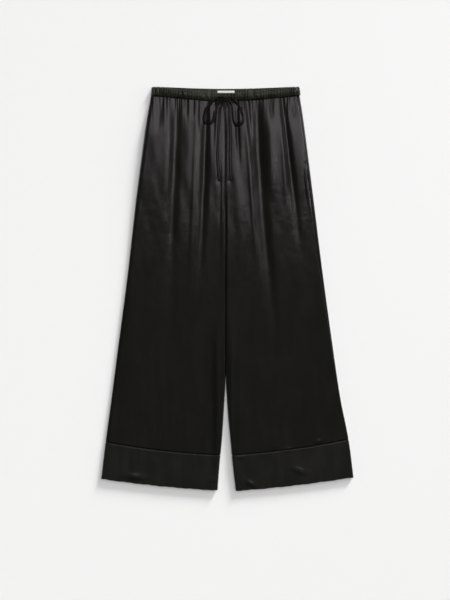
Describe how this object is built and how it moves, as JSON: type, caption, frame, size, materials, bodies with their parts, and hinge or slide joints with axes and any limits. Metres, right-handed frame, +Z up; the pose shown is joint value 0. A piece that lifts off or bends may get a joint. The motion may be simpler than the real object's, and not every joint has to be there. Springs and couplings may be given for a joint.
{
  "type": "wide-leg drawstring trousers",
  "caption": "Satin wide-leg trousers with a gathered drawstring waist, an in-seam pocket and deep hem bands, laid flat.",
  "frame": {"origin": "on the surface the trousers lie on, midway between the hem's outer corners and between waist edge and hem", "axes": "+X the wearer's left, +Y towards the waist, +Z up out of the front"},
  "size_m": [0.6566, 1.049, 0.019],
  "materials": {
    "satin": "soft satin",
    "satin_band": "pressed satin",
    "casing": "gathered satin",
    "rouleau": "satin cord",
    "label": "woven tape"
  },
  "bodies": {
    "root": {"waistband_front": "casing", "waistband_back": "casing", "waist_label": "label", "front_leg_right": "satin", "hem_band_front_right": "satin_band", "back_leg_right": "satin", "hem_band_back_right": "satin_band", "front_leg_left": "satin", "hem_band_front_left": "satin_band", "back_leg_left": "satin", "hem_band_back_left": "satin_band", "pocket_facing_left": "satin", "drawcord_knot": "rouleau", "drawcord_tail_right": "rouleau", "drawcord_loop_right": "rouleau", "drawcord_end_right": "rouleau", "drawcord_tail_left": "rouleau", "drawcord_loop_left": "rouleau", "drawcord_end_left": "rouleau"}
  },
  "joints": []
}
